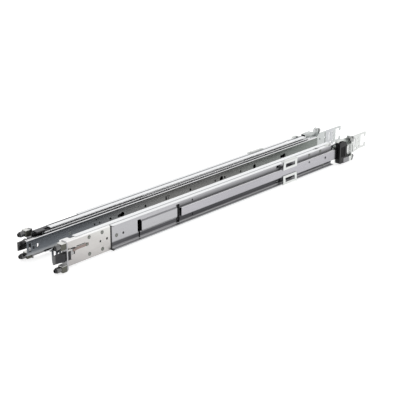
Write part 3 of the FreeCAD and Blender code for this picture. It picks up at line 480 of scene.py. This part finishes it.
class Pattern:
    """A Geometry Nodes tree that sets one shape on every spot of a mesh, with named sizes."""

    def __init__(self, name, **sizes):
        self.tree = bpy.data.node_groups.new(name, "GeometryNodeTree")
        sockets = self.tree.interface
        sockets.new_socket("Spots", in_out="INPUT", socket_type="NodeSocketGeometry")
        self.sizes = {}
        for label, value in sizes.items():
            socket = sockets.new_socket(label, in_out="INPUT", socket_type="NodeSocketFloat")
            socket.default_value = value
            self.sizes[socket.identifier] = value
        sockets.new_socket("Mesh", in_out="OUTPUT", socket_type="NodeSocketGeometry")
        self.given = self.node("NodeGroupInput")

    def node(self, kind, settings=None, sockets=None):
        made = self.tree.nodes.new(kind)
        for key, value in (settings or {}).items():
            setattr(made, key, value)
        for key, value in (sockets or {}).items():
            if isinstance(value, bpy.types.NodeSocket):
                self.tree.links.new(value, made.inputs[key])
            else:
                made.inputs[key].default_value = value
        return made.outputs

    def wire_ring(self, segments, sides):
        """Ring of round wire in the XY plane, of the tree's Radius and Wire."""
        path = self.node("GeometryNodeCurvePrimitiveCircle", None, {
            "Resolution": segments, "Radius": self.given["Radius"]})
        return self.swept(path["Curve"], sides)

    def swept(self, curve, sides):
        """Round wire of the tree's Wire radius along a curve."""
        section = self.node("GeometryNodeCurvePrimitiveCircle", None, {
            "Resolution": sides, "Radius": self.given["Wire"]})
        wire = self.node("GeometryNodeCurveToMesh", None, {
            "Curve": curve, "Profile Curve": section["Curve"], "Fill Caps": True})
        return wire["Mesh"]

    def turned(self, shape, rotation):
        """The shape turned about its own origin."""
        turn = self.node("GeometryNodeTransform", None, {"Geometry": shape, "Rotation": rotation})
        return turn["Geometry"]

    def repeat(self, shape, material):
        """Ends the tree: the shape on every spot, as one smooth mesh of that material."""
        copies = self.node("GeometryNodeInstanceOnPoints", None, {
            "Points": self.given["Spots"], "Instance": shape})
        whole = self.node("GeometryNodeRealizeInstances", None, {"Geometry": copies["Instances"]})
        smooth = self.node("GeometryNodeSetShadeSmooth", None, {"Geometry": whole["Geometry"]})
        coat = self.node("GeometryNodeSetMaterial", None, {
            "Geometry": smooth["Geometry"], "Material": material})
        self.node("NodeGroupOutput", None, {"Mesh": coat["Geometry"]})

    def piece(self, name, spots, body, slot):
        """Plain mesh of the pattern on these spots, which rides on a body."""
        spot_mesh = bpy.data.meshes.new(name + "_spots")
        spot_mesh.from_pydata(spots, [], [])
        holder = bpy.data.objects.new(name + "_spots", spot_mesh)
        bpy.context.scene.collection.objects.link(holder)
        modifier = holder.modifiers.new("pattern", "NODES")
        modifier.node_group = self.tree
        for identifier, value in self.sizes.items():
            modifier[identifier] = value
        graph = bpy.context.evaluated_depsgraph_get()
        mesh = bpy.data.meshes.new_from_object(holder.evaluated_get(graph), depsgraph=graph)
        holder.modifiers.remove(modifier)
        bpy.data.objects.remove(holder)
        made = bpy.data.objects.new(name, mesh)
        bpy.context.scene.collection.objects.link(made)
        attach(made, body)
        return made


SIDES = (("right", 1), ("left", -1))
thread_pitch = 0.0007
thread_turns = 9
thread_length = thread_pitch * thread_turns
bore_radius = 0.0016
crest_radius = 0.00016
front_bore_mouth = -0.36115
rear_bore_mouth = 0.31335
tapped_thread = Pattern(
    "tapped_thread", Radius=bore_radius, Wire=crest_radius, Length=thread_length)
thread_path = tapped_thread.node("GeometryNodeCurveSpiral", None, {
    "Resolution": 18, "Rotations": thread_turns, "Start Radius": tapped_thread.given["Radius"],
    "End Radius": tapped_thread.given["Radius"], "Height": tapped_thread.given["Length"]})
thread_wire = tapped_thread.swept(thread_path["Curve"], 4)
tapped_thread.repeat(tapped_thread.turned(thread_wire, (math.radians(90), 0, 0)), front_stud)
for side, sign in SIDES:
    for end, inner_end, body in (("front", front_bore_mouth + thread_length, "frame"),
                                 ("rear", rear_bore_mouth, side + "_rear_bracket")):
        tapped_thread.piece(side + "_" + end + "_threads",
                            [(sign * stud_x, inner_end, z) for z in stud_heights],
                            body, "stud_steel")


# Claws, pins, springs and lock levers
# Hardened claws that snap into the middle hole of the post, on plain pins, with a brown tempered
# leaf spring behind the front one. The lock lever is of grey spring strip.
claw_nose = {"edge": -0.3600, "soft": 0.0012}
claw_nose_grey = (0.14, 0.14, 0.14, 1)
# Painted light: the claw's inboard face is painted much lighter than the rest of it.
claw_inner_face = {"edge": 0.0340, "soft": 0.0008}
claw_inner_light = (0.60, 0.60, 0.60, 1)
claw_steel = plated_steel(
    "claw_steel", (0.055, 0.055, 0.058, 1), (0.025, 0.025, 0.027, 1), 0.22, 0.36, (
        (lambda x, y, z: y.below(**claw_nose), claw_nose_grey),
        (lambda x, y, z: x.below(**claw_inner_face), claw_inner_light)))
rear_claw_steel = plated_steel(
    "rear_claw_steel", (0.72, 0.73, 0.72, 1), (0.60, 0.61, 0.60, 1), 0.24, 0.38)
pin_steel = plated_steel(
    "pin_steel", (0.50, 0.50, 0.50, 1), (0.36, 0.36, 0.36, 1), 0.20, 0.32)
spring_brown = plated_steel(
    "spring_brown", (0.30, 0.24, 0.22, 1), (0.19, 0.15, 0.14, 1), 0.24, 0.40)
lever_steel = plated_steel(
    "lever_steel", (0.20, 0.20, 0.205, 1), (0.14, 0.14, 0.145, 1), 0.24, 0.40)
dress("front_latch", claw_steel)
dress("rear_latch", rear_claw_steel)
dress("front_latch_pin", pin_steel)
dress("rear_latch_pin", pin_steel)
dress("slide_lock", lever_steel)


# Leaf springs
# The foot of each leaf is riveted to its bracket and the free end stays on the claw's tail. The
# leaf is cut across into short lengths.
axis_z = 0.021375
leaf_foot = -0.3040
leaf_end = -0.3245
leaf_cuts = 30
same_point = 1e-6
for side, sign in SIDES:
    rigid = nodes[side + "_front_latch_spring"]
    leaf = bmesh.new()
    leaf.from_mesh(rigid.data)
    leaf.transform(rigid.matrix_world)
    bmesh.ops.remove_doubles(leaf, verts=leaf.verts, dist=same_point)
    for cut in range(leaf_cuts):
        bmesh.ops.bisect_plane(
            leaf, geom=leaf.verts[:] + leaf.edges[:] + leaf.faces[:], plane_no=(0, 1, 0),
            plane_co=(0, leaf_foot + (leaf_end - leaf_foot) * cut / (leaf_cuts - 1), 0))
    leaf_mesh = bpy.data.meshes.new(side + "_leaf_spring")
    leaf.to_mesh(leaf_mesh)
    leaf.free()
    leaf_mesh.materials.clear()
    leaf_mesh.materials.append(spring_brown)
    bent_leaf = bpy.data.objects.new(side + "_leaf_spring", leaf_mesh)
    bpy.context.scene.collection.objects.link(bent_leaf)
    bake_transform(bent_leaf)
    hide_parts(side + "_front_latch_spring")


# Rivets
# Headed steel rivets that join the brackets, the slide and the channel. The press leaves a fine
# raised ring in the sheet round each head.
rivet_steel = plated_steel(
    "rivet_steel", (0.24, 0.25, 0.23, 1), (0.15, 0.16, 0.14, 1), 0.24, 0.40)
for kind in ("bracket_rivets", "rear_rivets", "slide_lock_rivet"):
    dress(kind, rivet_steel)
ring_steel = plated_steel(
    "ring_steel", (0.36, 0.36, 0.36, 1), (0.28, 0.28, 0.28, 1), 0.24, 0.40)
ring_x = 0.0321
rivet_rise = 0.0122
bracket_rivets = [(y, z) for y in (-0.29495, -0.27095) for z in (-rivet_rise, rivet_rise)]
channel_rivets = [(-0.24415, 0), (0.19405, rivet_rise), (0.22405, rivet_rise), (0.23305, -0.0136)]
ring_radius = 0.0027
ring_wire_radius = 0.00022
press_ring = Pattern("press_ring", Radius=ring_radius, Wire=ring_wire_radius)
flat_ring = press_ring.wire_ring(24, 6)
press_ring.repeat(press_ring.turned(flat_ring, (0, math.radians(90), 0)), ring_steel)
for side, sign in SIDES:
    ring_spots = [(sign * ring_x, y, axis_z + z) for y, z in bracket_rivets + channel_rivets]
    press_ring.piece(side + "_press_rings", ring_spots, "frame", "rivet_steel")


# Balls and their retainers
# Polished bearing balls in two rows, each in a pocket with a drawn rim, held at one pitch by a thin
# strip that follows the slide at half its speed.
cage_steel = plated_steel(
    "cage_steel", (0.84, 0.85, 0.86, 1), (0.72, 0.73, 0.74, 1), 0.20, 0.34)
ball_steel = plated_steel(
    "ball_steel", (0.88, 0.89, 0.90, 1), (0.80, 0.81, 0.82, 1), 0.06, 0.14, grain=0.2)
oiled_cage = plated_steel(
    "oiled_cage", (0.16, 0.16, 0.17, 1), (0.10, 0.10, 0.105, 1), 0.20, 0.34)
dress("outer_ball_cage", cage_steel)
dress("inner_ball_cage", oiled_cage)
ball_radius = 0.0014
first_ball = -0.12595
ball_pitch = 0.00515
balls_in_row = 41
rim_radius = 0.00178
rim_wire_radius = 0.00036
ball = Pattern("bearing_ball", Radius=ball_radius)
ball_sphere = ball.node("GeometryNodeMeshIcoSphere", None, {
    "Radius": ball.given["Radius"], "Subdivisions": 2})
ball.repeat(ball_sphere["Mesh"], ball_steel)
rims = {}
for ring, strip in (("outer", cage_steel), ("inner", oiled_cage)):
    rims[ring] = Pattern(ring + "_pocket_rim", Radius=rim_radius, Wire=rim_wire_radius)
    rims[ring].repeat(rims[ring].wire_ring(12, 4), strip)
for side, sign in SIDES:
    for ring, ball_x, ball_rise in (("outer", 0.0246, 0.0160), ("inner", 0.0232, 0.0125)):
        spots = [(sign * ball_x, first_ball + ball_pitch * index, axis_z + row * ball_rise)
                 for row in (-1, 1) for index in range(balls_in_row)]
        body = side + "_" + ring + "_cage"
        row_of_balls = ball.piece(side + "_" + ring + "_ball_rows", spots, body, "ball_steel")
        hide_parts(side + "_" + ring + "_balls")
        rims[ring].piece(side + "_" + ring + "_pocket_rims", spots, body, "cage_steel")


# Plastic pieces
# Moulded black nylon with a fine grain, polished a little where hands touch it: the guide at the
# front of the slide, and the housing that is clipped over the rear claw.
nylon = Finish(bpy.data.materials.new("black_nylon"))
nylon_grain = nylon.noise((2600, 2600, 2600), 3)
nylon_wear = nylon.noise((90, 90, 90), 4).spread(0.45, 0.75)
nylon_relief = nylon.node("Bump", None, {
    "Strength": 0.25, "Distance": 0.0002, "Height": nylon_grain})
nylon_surface = nylon.node("BsdfPrincipled", None, {
    "Base Color": nylon.blend(nylon_wear, (0.010, 0.0095, 0.0105, 1), (0.022, 0.021, 0.023, 1)),
    "Roughness": 0.34 + nylon_wear * 0.16,
    "Specular IOR Level": 0.3,
    "Normal": nylon_relief})
nylon.node("OutputMaterial", None, {"Surface": nylon_surface})
dress("front_guide", nylon.owner)
dress("rear_latch_housing", nylon.owner)
